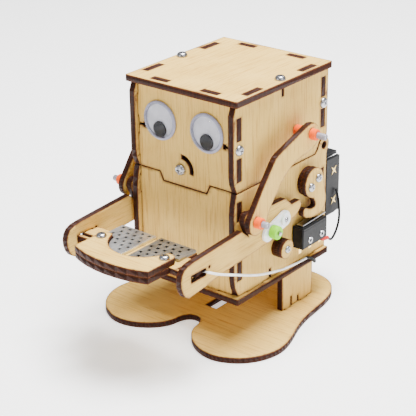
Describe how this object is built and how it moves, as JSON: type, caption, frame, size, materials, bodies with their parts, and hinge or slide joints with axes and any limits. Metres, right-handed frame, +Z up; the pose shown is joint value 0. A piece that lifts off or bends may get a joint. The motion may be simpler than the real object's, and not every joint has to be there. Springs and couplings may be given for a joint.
{
  "type": "wooden robot coin bank kit",
  "caption": "Laser-cut plywood robot bank: arms lift a coin tray, links tip the hinged head open, driven by a hooked cam with a lever switch",
  "frame": {"origin": "on the floor, under the middle of the plywood body, on the underside of the foot base", "axes": "+Z up; the face looks along -Y; +X is the side with the cam and switch"},
  "size_m": [0.1004, 0.1402, 0.1219],
  "materials": {
    "foot_base": "birch plywood, laser cut, brown burnt edges",
    "leg_left": "birch plywood, laser cut, brown burnt edges",
    "leg_right": "birch plywood, laser cut, brown burnt edges",
    "bottom_plate": "birch plywood, laser cut, brown burnt edges",
    "body_front_panel": "birch plywood, laser cut, brown burnt edges",
    "body_rear_panel": "birch plywood, laser cut, brown burnt edges",
    "body_side_left": "birch plywood, laser cut, brown burnt edges",
    "body_side_right": "birch plywood, laser cut, brown burnt edges",
    "lift_stop_left": "birch plywood, laser cut, brown burnt edges",
    "lift_stop_right": "birch plywood, laser cut, brown burnt edges",
    "arm_axle": "bright steel",
    "hinge_pin": "bright steel",
    "battery_holder": "black moulded plastic",
    "battery_1": "printed steel can",
    "battery_2": "printed steel can",
    "motor_gearbox": "bright steel",
    "motor_can": "bright steel",
    "micro_switch": "black moulded plastic",
    "wire_tray_left": "white insulation",
    "wire_tray_right": "white insulation",
    "wire_battery_black": "black insulation",
    "terminal_sleeve_red": "red sleeve on the switch terminal",
    "head_top_plate": "birch plywood, laser cut, brown burnt edges",
    "head_face_panel": "birch plywood, laser cut, brown burnt edges",
    "head_side_left": "birch plywood, laser cut, brown burnt edges",
    "head_side_right": "birch plywood, laser cut, brown burnt edges",
    "head_rear_panel": "birch plywood, laser cut, brown burnt edges",
    "eye_left": "clear dome on a white disc",
    "eye_right": "clear dome on a white disc",
    "nose_screw": "bright steel",
    "top_screw_left": "bright steel",
    "top_screw_right": "bright steel",
    "hinge_bracket_left": "birch plywood, laser cut, brown burnt edges",
    "hinge_bracket_right": "birch plywood, laser cut, brown burnt edges",
    "arm_left": "birch plywood, laser cut, brown burnt edges",
    "arm_right": "birch plywood, laser cut, brown burnt edges",
    "tray_base": "birch plywood, laser cut, brown burnt edges",
    "tray_cover": "birch plywood, laser cut, brown burnt edges",
    "contact_plate_left": "bright steel",
    "contact_plate_right": "bright steel",
    "tray_screw_left": "bright steel",
    "tray_screw_right": "bright steel",
    "axle_clip_left": "translucent nylon",
    "axle_clip_right": "translucent nylon",
    "axle_collar_left": "lime green plastic sleeve",
    "axle_collar_right": "lime green plastic sleeve",
    "link_pin_lower_left": "orange plastic sleeve on a steel pin",
    "link_pin_lower_right": "orange plastic sleeve on a steel pin",
    "cam_hook": "birch plywood, laser cut, brown burnt edges",
    "cam_spacer": "birch plywood, laser cut, brown burnt edges",
    "output_shaft": "steel output shaft of the gear motor",
    "cam_screw_upper": "bright steel",
    "cam_screw_lower": "bright steel",
    "link_left": "birch plywood, laser cut, brown burnt edges",
    "link_right": "birch plywood, laser cut, brown burnt edges",
    "link_pin_upper_left": "orange plastic sleeve on a steel pin",
    "link_pin_upper_right": "orange plastic sleeve on a steel pin",
    "switch_lever": "bright steel",
    "pupil_left": "loose black disc",
    "pupil_right": "loose black disc"
  },
  "bodies": {
    "body": {"foot_base": "foot_base", "leg_left": "leg_left", "leg_right": "leg_right", "bottom_plate": "bottom_plate", "body_front_panel": "body_front_panel", "body_rear_panel": "body_rear_panel", "body_side_left": "body_side_left", "body_side_right": "body_side_right", "lift_stop_left": "lift_stop_left", "lift_stop_right": "lift_stop_right", "arm_axle": "arm_axle", "hinge_pin": "hinge_pin", "battery_holder": "battery_holder", "battery_1": "battery_1", "battery_2": "battery_2", "motor_gearbox": "motor_gearbox", "motor_can": "motor_can", "micro_switch": "micro_switch", "wire_tray_left": "wire_tray_left", "wire_tray_right": "wire_tray_right", "wire_battery_black": "wire_battery_black", "terminal_sleeve_red": "terminal_sleeve_red"},
    "head": {"head_top_plate": "head_top_plate", "head_face_panel": "head_face_panel", "head_side_left": "head_side_left", "head_side_right": "head_side_right", "head_rear_panel": "head_rear_panel", "eye_left": "eye_left", "eye_right": "eye_right", "nose_screw": "nose_screw", "top_screw_left": "top_screw_left", "top_screw_right": "top_screw_right", "hinge_bracket_left": "hinge_bracket_left", "hinge_bracket_right": "hinge_bracket_right"},
    "arms": {"arm_left": "arm_left", "arm_right": "arm_right", "tray_base": "tray_base", "tray_cover": "tray_cover", "contact_plate_left": "contact_plate_left", "contact_plate_right": "contact_plate_right", "tray_screw_left": "tray_screw_left", "tray_screw_right": "tray_screw_right", "axle_clip_left": "axle_clip_left", "axle_clip_right": "axle_clip_right", "axle_collar_left": "axle_collar_left", "axle_collar_right": "axle_collar_right", "link_pin_lower_left": "link_pin_lower_left", "link_pin_lower_right": "link_pin_lower_right"},
    "link_left": {"link_left": "link_left", "link_pin_upper_left": "link_pin_upper_left"},
    "link_right": {"link_right": "link_right", "link_pin_upper_right": "link_pin_upper_right"},
    "cam": {"cam_hook": "cam_hook", "cam_spacer": "cam_spacer", "output_shaft": "output_shaft", "cam_screw_upper": "cam_screw_upper", "cam_screw_lower": "cam_screw_lower"},
    "lever": {"switch_lever": "switch_lever"},
    "pupil_left": {"pupil_left": "pupil_left"},
    "pupil_right": {"pupil_right": "pupil_right"}
  },
  "joints": [
    {"name": "arm_swing", "type": "hinge", "parent": "body", "child": "arms", "pos_m": [0, -0.0162, 0.0537], "axis": [-1, 0, 0], "range_deg": [0, 30]},
    {"name": "head_open", "type": "hinge", "parent": "body", "child": "head", "pos_m": [0, 0.0337, 0.0785], "axis": [-1, 0, 0], "range_deg": [0, 20.3]},
    {"name": "link_left_turn", "type": "hinge", "parent": "arms", "child": "link_left", "pos_m": [-0.0375, -0.0315, 0.0644], "axis": [-1, 0, 0], "range_deg": [-31.6, 0]},
    {"name": "link_right_turn", "type": "hinge", "parent": "arms", "child": "link_right", "pos_m": [0.0375, -0.0315, 0.0644], "axis": [-1, 0, 0], "range_deg": [-31.6, 0]},
    {"name": "cam_turn", "type": "hinge", "parent": "body", "child": "cam", "pos_m": [0.0338, 0.0187, 0.0655], "axis": [1, 0, 0], "range_deg": [0, 230]},
    {"name": "lever_press", "type": "hinge", "parent": "body", "child": "lever", "pos_m": [0.0334, 0.0104, 0.0461], "axis": [-1, 0, 0], "range_deg": [0, 3], "stiffness_Nm_per_rad": 0.01},
    {"name": "pupil_left_turn", "type": "hinge", "parent": "head", "child": "pupil_left", "pos_m": [-0.0136, -0.0343, 0.1012], "axis": [0, 1, 0], "continuous": true},
    {"name": "pupil_right_turn", "type": "hinge", "parent": "head", "child": "pupil_right", "pos_m": [0.0136, -0.0343, 0.1012], "axis": [0, 1, 0], "continuous": true}
  ],
  "couplings": [
    {"joint": "head_open", "follows": "arm_swing", "ratio": 0.6753},
    {"joint": "link_left_turn", "follows": "arm_swing", "ratio": -1.0504},
    {"joint": "link_right_turn", "follows": "arm_swing", "ratio": -1.0504}
  ]
}
